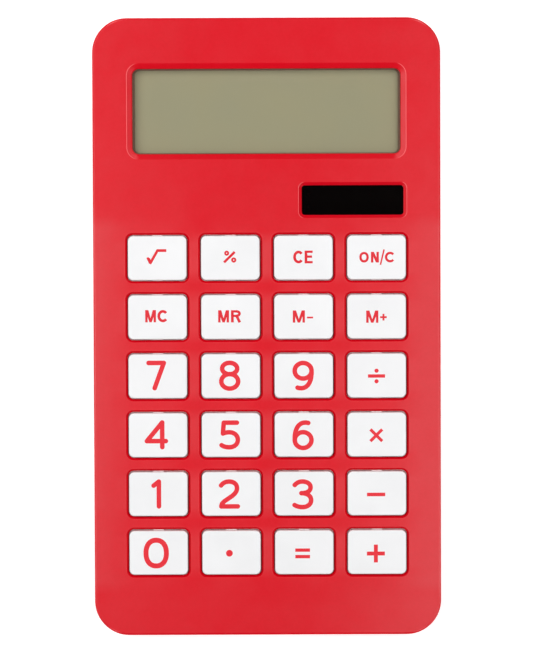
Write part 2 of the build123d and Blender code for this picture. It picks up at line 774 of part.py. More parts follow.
# ================================================================ wires
wire_radius, wire_bend = 0.45, 0.6
solar_back = solar_cell_depth + solar_cell_thickness
solar_wire_depth = (solar_back + board_top) / 2
for name, y in {"solar_wire_red": 38.0, "solar_wire_black": 34.6}.items():
    run = [(12.0, y, solar_back), (12.0, y, solar_wire_depth)]
    run += [(8.4, y - 2.4, solar_wire_depth), (8.4, y - 2.4, board_top)]
    solar_wire = wire(
        [face(depth).from_local_coords((x, y, 0)) for x, y, depth in run],
        wire_radius,
        wire_bend,
    )
    finish(solar_wire, name)

# ================================================================ battery
with BuildPart() as button_cell:
    with BuildSketch(Plane.XY.offset(cell_bottom)):
        with Locations((0, cell_y)):
            Circle(cell_radius)
    extrude(amount=cell_height - 0.5)
    fillet(button_cell.edges().filter_by(GeomType.CIRCLE), 0.3)
    with BuildSketch(Plane.XY.offset(cell_bottom + 0.5)):
        with Locations((0, cell_y)):
            Circle(cell_radius - 0.7)
    extrude(amount=cell_height - 0.5)
    cap = button_cell.edges().filter_by(GeomType.CIRCLE).sort_by(Axis.Z)[-1]
    fillet(cap, 0.25)
finish(button_cell, "button_cell")

cell_top = cell_bottom + cell_height
leaf_bottom = box_ceiling_low - contact_thickness
tail_reach = 3.0             # how far each contact's tail stands out of the box
with BuildPart() as battery_contact_negative:
    # leaf under the box ceiling, dimpled onto the cell, tail out of the front
    tail_end_y = box_front_y - box_wall - tail_reach
    with BuildSketch(Plane.XY.offset(leaf_bottom)):
        with Locations((0, (cell_y + 2.0 + tail_end_y) / 2)):
            Rectangle(contact_width, cell_y + 2.0 - tail_end_y)
    extrude(amount=contact_thickness)
    with BuildSketch(Plane.XY.offset(cell_top)):
        with Locations((0, cell_y)):
            Circle(1.0)
    extrude(amount=leaf_bottom - cell_top + 0.05)
finish(battery_contact_negative, "battery_contact_negative")

with BuildPart() as battery_contact_positive:
    # upright leaf against the cell's rim, tail out of the side
    tail_end_x = box_width / 2 + box_wall + tail_reach
    with BuildSketch(Plane.XY.offset(leaf_bottom)):
        with Locations(((cell_radius + tail_end_x) / 2, cell_y)):
            Rectangle(tail_end_x - cell_radius, contact_width)
    extrude(amount=contact_thickness)
    with BuildSketch(Plane.XY.offset(cell_bottom + 0.6)):
        with Locations((cell_radius + contact_thickness / 2, cell_y)):
            Rectangle(contact_thickness, contact_width)
    extrude(amount=leaf_bottom - cell_bottom - 0.6 + 0.05)
finish(battery_contact_positive, "battery_contact_positive")

# leads from the tails to pads under the rear of the board
pad_y = 37.5
negative_end = face(board_bottom).from_local_coords((-4.0, pad_y, 0))
positive_end = face(board_bottom).from_local_coords((9.0, pad_y, 0))
under_tail = leaf_bottom - wire_radius
lead_height = 4.6
battery_wire_black = wire(
    [
        (0, tail_end_y + 1.6, under_tail),
        (0, tail_end_y - 2.0, under_tail),
        (-4.0, tail_end_y - 8.0, lead_height),
        (-4.0, pad_y, lead_height),
        negative_end,
    ],
    wire_radius,
    wire_bend,
)
finish(battery_wire_black, "battery_wire_black")

battery_wire_red = wire(
    [
        (tail_end_x - 1.6, cell_y, under_tail),
        (tail_end_x + 1.6, cell_y, under_tail),
        (tail_end_x + 1.6, 54.0, lead_height),
        (9.0, 46.0, lead_height),
        (9.0, pad_y, lead_height),
        positive_end,
    ],
    wire_radius,
    wire_bend,
)
finish(battery_wire_red, "battery_wire_red")

# ================================================================ outside
case_screws = round_screw(
    Plane.XY.offset(screw_seat),
    case_screw_places,
    screw_head_radius,
    screw_head_height,
    screw_shank_radius,
    screw_length,
)
finish(case_screws, "case_screws")

for name, place in foot_places.items():
    with BuildPart() as foot:
        with BuildSketch():
            with Locations(place):
                Circle(foot_radius)
        extrude(amount=foot_height + foot_recess)
        fillet(foot.faces().sort_by(Axis.Z)[0].edges(), 0.3)
    finish(foot, name)

with BuildPart() as rating_label:
    with BuildSketch(Plane.XY.offset(foot_height + 0.05)):
        with Locations((0, label_y)):
            RectangleRounded(label_width, label_length, 1.5)
    extrude(amount=label_thickness)
finish(rating_label, "rating_label")
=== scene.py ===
import json
from math import atan2, cos, pi, radians, sin

import bmesh
import bpy
from mathutils import Matrix, Vector
from mathutils.geometry import delaunay_2d_cdt


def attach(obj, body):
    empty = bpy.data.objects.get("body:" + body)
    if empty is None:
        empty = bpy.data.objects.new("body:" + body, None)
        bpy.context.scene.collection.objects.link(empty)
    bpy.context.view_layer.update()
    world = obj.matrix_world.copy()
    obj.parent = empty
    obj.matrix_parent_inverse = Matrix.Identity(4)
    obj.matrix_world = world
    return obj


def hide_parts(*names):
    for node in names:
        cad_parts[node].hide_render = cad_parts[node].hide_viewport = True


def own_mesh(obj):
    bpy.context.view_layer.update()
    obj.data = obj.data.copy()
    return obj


# Looks for the desk calculator: materials for every part, the printed key
# legends, small inner details, a studio and the camera. Shapes on the calculator
# are written in millimetres and turned into metres where they enter the scene.
# The camera's place, the floor and the lights are in metres.

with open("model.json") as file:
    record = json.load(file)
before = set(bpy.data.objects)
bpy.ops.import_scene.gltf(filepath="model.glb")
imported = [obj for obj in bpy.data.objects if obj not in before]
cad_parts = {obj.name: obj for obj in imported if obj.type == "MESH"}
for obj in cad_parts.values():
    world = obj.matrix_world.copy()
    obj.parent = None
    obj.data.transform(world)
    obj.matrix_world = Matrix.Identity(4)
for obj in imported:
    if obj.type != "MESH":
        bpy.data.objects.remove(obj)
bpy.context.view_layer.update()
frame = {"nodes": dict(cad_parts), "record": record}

MM = 0.001
FACE_TILT = radians(2.0)     # slope of the top face, rising away from the user

# The keypad on the sloping face: the middles of its keys, from the lowest row up.
column_pitch, row_pitch = 20.95, 16.95
lowest_row_y = -64.8
key_columns = [(column - 1.5) * column_pitch for column in range(4)]
key_rows = [lowest_row_y + row * row_pitch for row in range(6)]
keypad_middle_y = sum(key_rows) / len(key_rows)
key_order = [
    ["0", "point", "equals", "plus"],
    ["1", "2", "3", "minus"],
    ["4", "5", "6", "multiply"],
    ["7", "8", "9", "divide"],
    ["memory_clear", "memory_recall", "memory_minus", "memory_plus"],
    ["square_root", "percent", "clear_entry", "on_clear"],
]

# ---------------------------------------------------------------- camera
# Straight down from about 0.7 m, framed like the photograph.
camera_height = 0.7187
camera_right, camera_forward = -0.00017, 0.0005
camera_roll = radians(-0.21)
sensor_height, focal_length = 36.0, 136.037      # millimetres, as on a real camera

camera_data = bpy.data.cameras.new("camera")
camera_data.sensor_fit = "VERTICAL"
camera_data.sensor_height = sensor_height
camera_data.lens = focal_length
camera_data.clip_start = 0.01
camera = bpy.data.objects.new("camera", camera_data)
camera.location = (camera_right, camera_forward, camera_height)
camera.rotation_euler = (0.0, 0.0, camera_roll)
bpy.context.scene.collection.objects.link(camera)
bpy.context.scene.camera = camera


# ---------------------------------------------------------------- materials
def linear(red, green, blue):
    """A colour given as it looks on a screen, from 0 to 255."""
    shares = [value / 255 for value in (red, green, blue)]
    return [
        share / 12.92 if share <= 0.04045 else ((share + 0.055) / 1.055) ** 2.4
        for share in shares
    ]


class Look:
    """A material with one Principled shader and the nodes that give it detail."""

    # the colour sockets of a mix node, whose names are shared with its other sockets
    FIRST_COLOUR, SECOND_COLOUR, MIXED_COLOUR = 6, 7, 2

    def __init__(self, name, colour, roughness, **sockets):
        self.material = bpy.data.materials.new(name)
        self.material.use_nodes = True
        self.tree = self.material.node_tree
        self.shader = self.tree.nodes["Principled BSDF"]
        self.colour = [*linear(*colour), 1.0]
        self.roughness = roughness
        self.shader.inputs["Base Color"].default_value = self.colour
        self.shader.inputs["Roughness"].default_value = roughness
        for socket, value in sockets.items():
            self.shader.inputs[socket.replace("_", " ")].default_value = value
        self.place = self.add("ShaderNodeTexCoord").outputs["Object"]
        self.shade = None
        self.normal = None

    def add(self, kind, **settings):
        node = self.tree.nodes.new(kind)
        for name, value in settings.items():
            setattr(node, name, value)
        return node

    def join(self, source, target):
        self.tree.links.new(source, target)

    def axis(self, name):
        """One coordinate of the point on the part, in metres."""
        split = self.add("ShaderNodeSeparateXYZ")
        self.join(self.place, split.inputs[0])
        return split.outputs[name]

    def facing(self, name):
        """How far the surface faces along one axis, from -1 to 1."""
        split = self.add("ShaderNodeSeparateXYZ")
        self.join(self.add("ShaderNodeNewGeometry").outputs["Normal"], split.inputs[0])
        return split.outputs[name]

    def maths(self, operation, *values):
        node = self.add("ShaderNodeMath", operation=operation)
        for value, socket in zip(values, node.inputs):
            if isinstance(value, float):
                socket.default_value = value
            else:
                self.join(value, socket)
        return node.outputs[0]

    def size_of(self, value):
        return self.maths("ABSOLUTE", value)

    def total(self, first, second):
        return self.maths("ADD", first, second)

    def less(self, first, second):
        return self.maths("SUBTRACT", first, second)

    def product(self, first, second):
        return self.maths("MULTIPLY", first, second)

    def larger(self, first, second):
        return self.maths("MAXIMUM", first, second)

    def noise(self, size, detail=3.0, stretch=(1, 1, 1), turn=(0, 0, 0)):
        """Cloudy noise whose features are about this many millimetres across."""
        mapping = self.add("ShaderNodeMapping")
        mapping.inputs["Scale"].default_value = [axis / (size * MM) for axis in stretch]
        mapping.inputs["Rotation"].default_value = turn
        self.join(self.place, mapping.inputs["Vector"])
        texture = self.add("ShaderNodeTexNoise")
        texture.inputs["Scale"].default_value = 1.0
        texture.inputs["Detail"].default_value = detail
        self.join(mapping.outputs["Vector"], texture.inputs["Vector"])
        return texture.outputs["Fac"]

    def between(self, value, low, high, start=0.3, end=0.7):
        """Spreads a 0 to 1 value over a range."""
        spread = self.add("ShaderNodeMapRange")
        for name, number in {
            "From Min": start,
            "From Max": end,
            "To Min": low,
            "To Max": high,
        }.items():
            spread.inputs[name].default_value = number
        self.join(value, spread.inputs["Value"])
        return spread.outputs["Result"]

    def tint(self, value, colour, strength=1.0):
        """Moves the surface colour towards another where value is high."""
        mix = self.add("ShaderNodeMix", data_type="RGBA")
        if strength != 1.0:
            value = self.between(value, 0.0, strength, 0.0, 1.0)
        self.join(value, mix.inputs["Factor"])
        if self.shade is None:
            mix.inputs[self.FIRST_COLOUR].default_value = self.colour
        else:
            self.join(self.shade, mix.inputs[self.FIRST_COLOUR])
        mix.inputs[self.SECOND_COLOUR].default_value = [*linear(*colour), 1.0]
        self.shade = mix.outputs[self.MIXED_COLOUR]
        self.join(self.shade, self.shader.inputs["Base Color"])
        return self

    def mottle(self, size, colour, strength=1.0, detail=3.0, **placing):
        """Soft patches of a second colour."""
        cloud = self.noise(size, detail, **placing)
        return self.tint(self.between(cloud, 0.0, strength), colour)

    def polish(self, size, low, high, **placing):
        """Roughness that wanders between two values."""
        wander = self.between(self.noise(size, **placing), low, high)
        self.join(wander, self.shader.inputs["Roughness"])
        return self

    def bump(self, height, depth, strength=1.0):
        """Relief from a 0 to 1 height, this many millimetres deep."""
        relief = self.add("ShaderNodeBump")
        relief.inputs["Strength"].default_value = strength
        relief.inputs["Distance"].default_value = depth * MM
        self.join(height, relief.inputs["Height"])
        if self.normal is not None:
            self.join(self.normal, relief.inputs["Normal"])
        self.normal = relief.outputs["Normal"]
        self.join(self.normal, self.shader.inputs["Normal"])
        return self

    def grain(self, size, depth, detail=2.0, **placing):
        return self.bump(self.noise(size, detail, **placing), depth)

    def edges(self, radius):
        """1 near sharp edges, where a rounded normal leaves the flat one."""
        rounded = self.add("ShaderNodeBevel", samples=4)
        rounded.inputs["Radius"].default_value = radius * MM
        flat = self.add("ShaderNodeNewGeometry")
        agree = self.add("ShaderNodeVectorMath", operation="DOT_PRODUCT")
        self.join(rounded.outputs["Normal"], agree.inputs[0])
        self.join(flat.outputs["Normal"], agree.inputs[1])
        fully_turned, still_flat = 0.80, 0.995
        return self.between(agree.outputs["Value"], 1.0, 0.0, fully_turned, still_flat)

    def worn_or_highlit_edges(self, radius, colour, strength):
        """Edges tinted to another colour: rubbed wear on the metal parts, and a painted highlight
        on the white keys.
        """
        return self.tint(self.edges(radius), colour, strength)

    def stripes(self, spacing, width):
        """1 on thin straight lines across X, this many millimetres apart, 0 between them."""
        wave = self.add("ShaderNodeTexWave", wave_type="BANDS", bands_direction="X")
        wave.inputs["Scale"].default_value = 2 * pi / (20 * spacing * MM)
        self.join(self.place, wave.inputs["Vector"])
        edge = cos(pi * width / spacing) * 0.5 + 0.5
        return self.between(wave.outputs["Fac"], 0.0, 1.0, edge, min(edge + 0.02, 1.0))


def red_plastic():
    """The moulded case, whose sheen is stronger in the strips beside the keys and towards
    the right side, where the face bulges, and weaker where the gaps between keys cross."""
    red = Look("red_plastic", (220, 1, 25), 0.36)
    red.mottle(28.0, (215, 1, 23), 0.6)
    red.mottle(0.9, (226, 8, 34), 0.45, detail=5.0)
    across, along = red.axis("X"), red.axis("Y")
    sideways, upwards = red.size_of(red.facing("X")), red.facing("Z")
    from_middle = red.size_of(across)

    # edges: painted shade, a deeper red, on the steep ones, and painted highlights, paler, on the
    # flat ones and down both sides
    steep = red.between(red.size_of(upwards), 1.0, 0.0, 0.86, 0.97)
    edge = red.edges(0.45)
    red.tint(red.product(edge, steep), (208, 0, 20), 0.75)
    # painted highlights: the flat edges and the rims that face left and right are tinted paler
    red.tint(red.product(edge, red.less(1.0, steep)), (240, 66, 72), 0.9)
    turned = red.between(sideways, 0.0, 1.0, 0.03, 0.12)
    side_highlight = red.between(upwards, 0.0, 1.0, 0.925, 0.94)
    side_highlight = red.product(side_highlight, red.between(from_middle, 1.0, 0.0, 43.5 * MM, 46 * MM))
    red.tint(red.product(turned, side_highlight), (246, 100, 104))

    # distances from the middle of the nearest row of keys, and of the nearest gap
    # between two columns
    rows_start, last_row = -73.2 * MM, 5.0
    level_pitch = row_pitch * cos(FACE_TILT) * MM
    row = red.maths("FLOOR", red.maths("DIVIDE", red.less(along, rows_start), level_pitch))
    row = red.maths("MINIMUM", red.larger(row, 0.0), last_row)
    row_middle = red.maths("MULTIPLY_ADD", row, level_pitch, rows_start + level_pitch / 2)
    from_row = red.size_of(red.less(along, row_middle))
    column = red.maths("ROUND", red.maths("DIVIDE", across, column_pitch * MM))
    from_gap = red.size_of(red.maths("MULTIPLY_ADD", column, -column_pitch * MM, across))

    # zones of stronger sheen, each from 0 to its own strength
    among_rows = red.between(from_row, 1.0, 0.0, 8.5 * MM, 12 * MM)
    margin = red.between(from_middle, 0.0, 1.0, 37 * MM, 45 * MM)
    beside_key = red.between(from_row, 1.0, 0.0, 4.0 * MM, 7.6 * MM)
    beside_key = red.larger(beside_key, red.product(margin, among_rows))
    beside_key = red.product(beside_key, red.between(from_middle, 1.0, 0.42, 0.0, 44 * MM))
    over_key = red.between(from_gap, 0.0, 0.18, 2.5 * MM, 6.5 * MM)
    over_key = red.product(over_key, among_rows)
    near_right = red.between(across, 0.0, 1.0, 12 * MM, 44 * MM)
    near_right = red.product(near_right, red.between(along, 0.5, 0.0, -80 * MM, 65 * MM))
    near_end = red.between(along, 1.0, 0.76, -80 * MM, -70 * MM)
    far_end = red.between(along, 0.0, -0.16, 20 * MM, 80 * MM)

    # all of them on the upper side, an even sheen on the underside, and very little on the
    # steep walls of the key openings
    even_gloss = 0.8
    gloss = red.total(red.total(beside_key, near_end), far_end)
    gloss = red.total(gloss, red.larger(over_key, near_right))
    upper_side = red.between(upwards, 0.0, 1.0, 0.1, 0.3)
    gloss = red.maths("MULTIPLY_ADD", red.less(gloss, even_gloss), upper_side, even_gloss)
    gloss = red.total(gloss, red.between(red.noise(5.0, detail=6.0), -0.07, 0.07))
    dull = red.product(steep, red.between(along, 0.9, 0.0, 29 * MM, 31 * MM))
    dull = red.product(dull, red.between(from_middle, 1.0, 0.0, 43 * MM, 45 * MM))
    gloss = red.product(gloss, red.less(1.0, dull))
    red.join(red.product(gloss, 0.5), red.shader.inputs["Specular IOR Level"])

    # the surface is a little rougher towards the sides
    sides = red.between(from_middle, 0.0, 0.04, 14 * MM, 44 * MM)
    wander = red.between(red.noise(9.0, detail=4.0), 0.29, 0.33)
    red.join(red.total(sides, wander), red.shader.inputs["Roughness"])
    red.bump(red.noise(13.0, detail=1.5), 0.045)
    red.grain(0.45, 0.016)
    return red


looks = {"red_case": red_plastic()}

white = Look("key_white", (246, 246, 247), 0.38)
white.mottle(14.0, (240, 240, 241), 0.8)
# painted highlight: the edges of the white keys are tinted paler
white.worn_or_highlit_edges(0.25, (252, 252, 252), 0.5)
white.polish(4.0, 0.32, 0.44)
white.grain(0.25, 0.0015)
looks["key_white"] = white

for slot, colour, roughness in (
    ("lcd_backing", (122, 118, 96), 0.5),
    ("inner_plastic", (44, 44, 46), 0.5),
    ("ribbon_film", (186, 140, 78), 0.35),
    ("wire_red", (196, 30, 26), 0.4),
    ("wire_black", (30, 30, 32), 0.4),
    ("silicone", (190, 190, 186), 0.6),
    ("carbon_rubber", (34, 34, 36), 0.7),
    ("carbon_ink", (42, 42, 44), 0.6),
    ("epoxy_black", (16, 16, 18), 0.22),
    ("capacitor_sleeve", (24, 34, 70), 0.3),
    ("resistor_body", (202, 172, 128), 0.4),
    ("led_red", (190, 20, 24), 0.15),
    ("foot_rubber", (40, 40, 42), 0.75),
    ("label_film", (196, 198, 200), 0.4),
):
    look = Look(slot, colour, roughness)
    paler = [min(255, value * 1.12 + 6) for value in colour]
    look.mottle(5.0, paler, 0.6)
    look.polish(2.0, roughness * 0.85, min(1.0, roughness * 1.15))
    look.grain(0.2, 0.004)
    looks[slot] = look

looks["ribbon_film"].tint(looks["ribbon_film"].stripes(0.9, 0.42), (74, 56, 40), 0.85)

for slot, colour, roughness in (
    ("screw_steel", (176, 176, 178), 0.34),
    ("cell_steel", (196, 196, 196), 0.26),
    ("contact_nickel", (190, 186, 176), 0.3),
):
    look = Look(slot, colour, roughness, Metallic=1.0)
    look.mottle(3.0, [value * 0.82 for value in colour], 0.7)
    look.worn_or_highlit_edges(0.15, [min(255, value + 40) for value in colour], 0.6)
    look.polish(1.2, roughness * 0.8, roughness * 1.4, stretch=(1, 6, 1))
    look.grain(0.12, 0.002, stretch=(1, 8, 1))
    looks[slot] = look

board = Look("board_green", (22, 98, 56), 0.34)
board.tint(board.stripes(2.2, 0.5), (36, 128, 72), 0.8)
board.mottle(4.0, (18, 84, 48), 0.6)
board.polish(3.0, 0.28, 0.42)
board.bump(board.stripes(2.2, 0.5), 0.03)
looks["board_green"] = board

solar = Look("solar_black", (5, 1, 1), 0.12, Specular_IOR_Level=0.2)
solar.tint(solar.stripes(7.3, 0.25), (12, 9, 8), 0.8)
solar.mottle(6.0, (7, 3, 2), 0.5)
solar.grain(0.4, 0.0008)
looks["solar_black"] = solar

film = Look("lcd_film", (164, 159, 125), 0.42, Specular_IOR_Level=0.3)
film.mottle(16.0, (158, 156, 126), 0.7)
film.mottle(0.12, (152, 148, 118), 0.35, detail=1.0)
film.polish(8.0, 0.38, 0.46)
film.grain(0.08, 0.0006)
looks["lcd_film"] = film


def clear_look(name, colour, cover):
    """A clear sheet that hides only a small share of what is behind it."""
    look = Look(name, colour, 0.08)
    look.mottle(9.0, [value * 0.97 for value in colour], 0.5)
    look.polish(5.0, 0.05, 0.11)
    look.grain(2.5, 0.0008)
    look.shader.inputs["Alpha"].default_value = cover
    return look


looks["clear_lens"] = clear_look("clear_lens", (26, 26, 26), 0.04)
looks["lcd_glass"] = clear_look("lcd_glass", (206, 222, 212), 0.25)

# Large digits and operators are printed a little paler than the lettered keys.
ink = Look("legend_ink", (237, 34, 50), 0.34)
fine_ink = Look("fine_ink", (228, 16, 38), 0.34)
for look, darker in ((ink, (230, 30, 46)), (fine_ink, (222, 14, 34))):
    look.mottle(1.2, darker, 0.6, detail=4.0)
    look.polish(1.5, 0.28, 0.42)
    look.grain(0.12, 0.002)

# painted shade: the brown of the shadow round the edges of the display
lens_print_shade = Look("lens_print_shade", (138, 110, 88), 0.6)
lens_print_shade.mottle(2.0, (128, 102, 82), 0.6)
lens_print_shade.grain(0.2, 0.001)

cell_mark = Look("dark_print", (58, 58, 60), 0.5)
cell_mark.mottle(1.5, (70, 70, 72), 0.6)
cell_mark.grain(0.15, 0.002)

solder = Look("solder", (186, 188, 192), 0.28, Metallic=1.0)
solder.mottle(0.8, (150, 152, 156), 0.6)
solder.grain(0.3, 0.02)

for part in frame["record"]["subparts"]:
    node = frame["nodes"][part["node"]]
    node.data.materials.clear()
    node.data.materials.append(looks[part["material_slot"]].material)


# ---------------------------------------------------------------- strokes
def curve(*points, steps=14):
    """Points along a cubic Bezier curve."""
    a, b, c, d = (Vector(point) for point in points)
    found = []
    for step in range(steps + 1):
        t = step / steps
        s = 1 - t
        found.append(s**3 * a + 3 * s * s * t * b + 3 * s * t * t * c + t**3 * d)
    return found


def arc(centre, radius_x, radius_y, start, end, steps=20, squareness=2.0):
    """Points round an ellipse, or round a squarer oval, between two angles."""
    found = []
    for step in range(steps + 1):
        angle = radians(start + (end - start) * step / steps)
        x, y = cos(angle), sin(angle)
        reach = (abs(x) ** squareness + abs(y) ** squareness) ** (-1 / squareness)
        found.append(
            Vector((centre[0] + radius_x * reach * x, centre[1] + radius_y * reach * y))
        )
    return found


def cap(centre, direction, half, steps=10):
    """The inner points of a half circle that closes a stroke's end."""
    heading = atan2(direction.y, direction.x)
    return [
        centre + half * Vector((cos(heading + turn), sin(heading + turn)))
        for turn in (pi / 2 - pi * step / steps for step in range(1, steps))
    ]


def stroke(points, width, round_ends=True):
    """The outline of a pen stroke along the points."""
    points = [Vector(point) for point in points]
    half = width / 2
    left, right = [], []
    for index, point in enumerate(points):
        before = points[max(index - 1, 0)]
        after = points[min(index + 1, len(points) - 1)]
        along = (after - before).normalized()
        across = Vector((-along.y, along.x)) * half
        left.append(point + across)
        right.append(point - across)
    outline = list(left)
    if round_ends:
        outline += cap(points[-1], points[-1] - points[-2], half)
    outline += reversed(right)
    if round_ends:
        outline += cap(points[0], points[0] - points[1], half)
    return outline


def loop(centre, radius_x, radius_y, width, squareness=2.0):
    """A closed oval as two overlapping strokes."""
    halves = ((-1, 181), (179, 361))
    return [
        stroke(
            arc(centre, radius_x, radius_y, start, end, squareness=squareness),
            width,
            False,
        )
        for start, end in halves
    ]


def disc(centre, radius):
    return arc(centre, radius, radius, 0, 345, steps=23)


def bar(x, y, width, height):
    """A rectangle round a centre."""
    return [
        Vector((x + side * width / 2, y + rise * height / 2))
        for side, rise in ((-1, -1), (1, -1), (1, 1), (-1, 1))
    ]


def rounded_bar(x, y, width, height, radius):
    """A rectangle with rounded corners."""
    found = []
    for side, rise, start in ((1, 1, 0), (-1, 1, 90), (-1, -1, 180), (1, -1, 270)):
        centre = (x + side * (width / 2 - radius), y + rise * (height / 2 - radius))
        found += arc(centre, radius, radius, start, start + 90, steps=6)
    return found


# ---------------------------------------------------------------- key legends
pen = 1.33                   # stroke of the large digits


def digit(*paths):
    """The strokes of a large digit along its paths."""
    return [stroke(path, pen) for path in paths]


digits = {
    "0": loop((0, 0), 2.93, 3.71, pen * 1.1, 2.25),
    "1": digit([(0.77, 3.58), (0.77, -3.58)], [(0.77, 3.58), (-0.74, 2.40)]),
    "2": digit(
        curve((-2.42, 2.51), (-1.75, 3.40), (-0.95, 3.62), (-0.10, 3.62))
        + curve((-0.10, 3.62), (1.35, 3.62), (2.15, 2.85), (2.15, 1.75))[1:]
        + curve((2.15, 1.75), (2.15, 0.35), (0.90, -0.45), (-0.30, -1.25))[1:]
        + curve((-0.30, -1.25), (-1.60, -2.10), (-2.32, -2.55), (-2.36, -3.54))[1:],
        [(-2.36, -3.54), (2.38, -3.54)],
    ),
    "3": digit(
        curve((-2.31, 2.69), (-1.60, 3.45), (-0.90, 3.68), (-0.10, 3.68))
        + curve((-0.10, 3.68), (1.35, 3.68), (2.23, 2.95), (2.23, 2.00))[1:]
        + curve((2.23, 2.00), (2.23, 0.95), (1.30, 0.32), (-0.42, 0.32))[1:],
        curve((-0.42, 0.32), (1.30, 0.32), (2.38, -0.40), (2.38, -1.72))
        + curve((2.38, -1.72), (2.38, -2.95), (1.30, -3.69), (-0.10, -3.69))[1:]
        + curve((-0.10, -3.69), (-0.95, -3.69), (-1.70, -3.50), (-2.38, -3.08))[1:],
    ),
    "4": digit(
        [(1.72, 3.54), (-2.71, -1.81)],
        [(-2.71, -1.81), (2.75, -1.81)],
        [(1.72, 3.54), (1.72, -3.54)],
    ),
    "5": digit(
        [(-1.66, 3.54), (2.10, 3.54)],
        [(-1.66, 3.54), (-1.92, 0.42)],
        curve((-1.92, 0.42), (-1.20, 0.70), (-0.70, 0.78), (-0.10, 0.78))
        + curve((-0.10, 0.78), (1.30, 0.78), (2.36, -0.10), (2.36, -1.40))[1:]
        + curve((2.36, -1.40), (2.36, -2.70), (1.30, -3.54), (-0.10, -3.54))[1:]
        + curve((-0.10, -3.54), (-0.95, -3.54), (-1.70, -3.35), (-2.32, -2.93))[1:],
    ),
    "6": loop((0.04, -1.42), 2.40, 2.27, pen)
    + digit(curve((-2.36, -1.42), (-2.50, 1.90), (-1.05, 4.15), (1.53, 3.50), steps=20)),
    "7": digit([(-2.18, 3.62), (2.18, 3.62)], [(2.18, 3.62), (-0.48, -3.62)]),
    "8": loop((0, 2.06), 2.16, 1.64, pen) + loop((0, -1.62), 2.42, 2.08, pen),
    "9": loop((0, 1.46), 2.42, 2.24, pen)
    + digit(curve((2.42, 1.46), (2.52, -1.95), (1.05, -4.20), (-1.61, -3.38), steps=20)),
}


def letter_m(left, width, height, weight):
    right, top, middle = left + width, height / 2, left + width / 2
    shoulder, toe = weight * 1.35, weight * 0.48
    return [
        bar(left + weight / 2, 0, weight, height),
        bar(right - weight / 2, 0, weight, height),
        [(left, top), (middle - toe, -top), (middle + toe, -top), (left + shoulder, top)],
        [(right, top), (right - shoulder, top), (middle - toe, -top), (middle + toe, -top)],
    ]


def letter_n(left, width, height, weight):
    right, top, slant = left + width, height / 2, weight * 1.2
    return [
        bar(left + weight / 2, 0, weight, height),
        bar(right - weight / 2, 0, weight, height),
        [(left, top), (right - slant, -top), (right, -top), (left + slant, top)],
    ]


def letter_c(left, width, height, weight):
    mouth = 40
    radius_x = width / (1 + cos(radians(mouth))) - weight / 2
    centre = (left + radius_x + weight / 2, 0)
    radius_y = (height - weight) / 2
    return [stroke(arc(centre, radius_x, radius_y, mouth, 360 - mouth, 30), weight, False)]


def letter_e(left, width, height, weight):
    thin = weight * 0.86
    rise = (height - thin) / 2
    return [bar(left + weight / 2, 0, weight, height)] + [
        bar(left + length / 2, level, length, thin)
        for length, level in ((width, rise), (width * 0.92, 0.1), (width, -rise))
    ]


def letter_r(left, width, height, weight):
    thin = weight * 0.86
    bowl_height = height * 0.56
    bowl_x = left + width * 0.52
    bowl_y = height / 2 - bowl_height / 2
    radius_y = (bowl_height - thin) / 2
    radius_x = width * 0.96 - width * 0.52 - weight / 2
    leg = [(bowl_x + 0.05, bowl_y - radius_y), (left + width - weight * 0.55, -height / 2)]
    return [
        bar(left + weight / 2, 0, weight, height),
        bar((left + bowl_x) / 2, bowl_y + radius_y, bowl_x - left, thin),
        bar((left + bowl_x) / 2, bowl_y - radius_y, bowl_x - left, thin),
        stroke(arc((bowl_x, bowl_y), radius_x, radius_y, 92, -92), (weight + thin) / 2, False),
        stroke(leg, weight, False),
    ]


def letter_o(left, width, height, weight):
    centre = (left + width / 2, 0)
    return loop(centre, (width - weight) / 2, (height - weight) / 2, weight, 2.15)


# Heights of the capitals, and the widths of their strokes.
small_capital, capital, large_capital = 3.06, 3.5, 3.65
medium, bold = 0.68, 0.78
symbols = {
    "square_root": [
        stroke([(-2.72, -0.64), (-2.15, -0.32)], 0.58, False),
        stroke([(-2.34, -0.46), (-1.66, -1.86)], 0.86, False),
        stroke([(-1.86, -2.05), (0.44, 1.94)], 0.76, False),
        stroke([(0.16, 1.74), (2.86, 1.74)], 0.80, False),
    ],
    "percent": [stroke([(-1.68, -1.58), (1.40, 1.40)], 0.72, False)]
    + loop((-0.92, 1.05), 0.44, 0.46, 0.54)
    + loop((1.10, -0.92), 0.46, 0.48, 0.54),
    "clear_entry": letter_c(-2.94, 2.72, large_capital, bold)
    + letter_e(0.34, 2.30, large_capital, bold),
    "on_clear": letter_o(-5.05, 2.70, small_capital, medium)
    + letter_n(-1.72, 2.26, small_capital, medium)
    + [stroke([(0.98, -2.20), (2.04, 2.20)], 0.44, False)]
    + letter_c(2.26, 2.66, small_capital, medium),
    "memory_clear": letter_m(-3.18, 3.08, capital, medium) + letter_c(0.32, 2.78, capital, bold),
    "memory_recall": letter_m(-3.34, 3.12, capital, medium) + letter_r(0.34, 2.96, capital, bold),
    "memory_minus": letter_m(-3.00, 3.46, capital, medium) + [bar(1.94, -0.30, 1.76, 0.50)],
    "memory_plus": letter_m(-3.02, 3.48, capital, medium)
    + [bar(1.92, -0.16, 1.90, 0.54), bar(1.92, -0.16, 0.54, 1.90)],
    "divide": [bar(0, 0, 4.90, 0.98), disc((0, 1.52), 0.60), disc((0, -1.52), 0.60)],
    "multiply": [
        stroke([(-1.70, -1.70), (1.70, 1.70)], 0.88, False),
        stroke([(-1.70, 1.70), (1.70, -1.70)], 0.88, False),
    ],
    "minus": [bar(0, 0, 5.24, 1.03)],
    "plus": [bar(0, 0, 5.17, 1.14), bar(0, 0, 1.14, 5.17)],
    "equals": [bar(0, 0.94, 4.24, 0.97), bar(0, -0.94, 4.24, 0.97)],
    "point": [disc((0, 0), 0.98)],
}

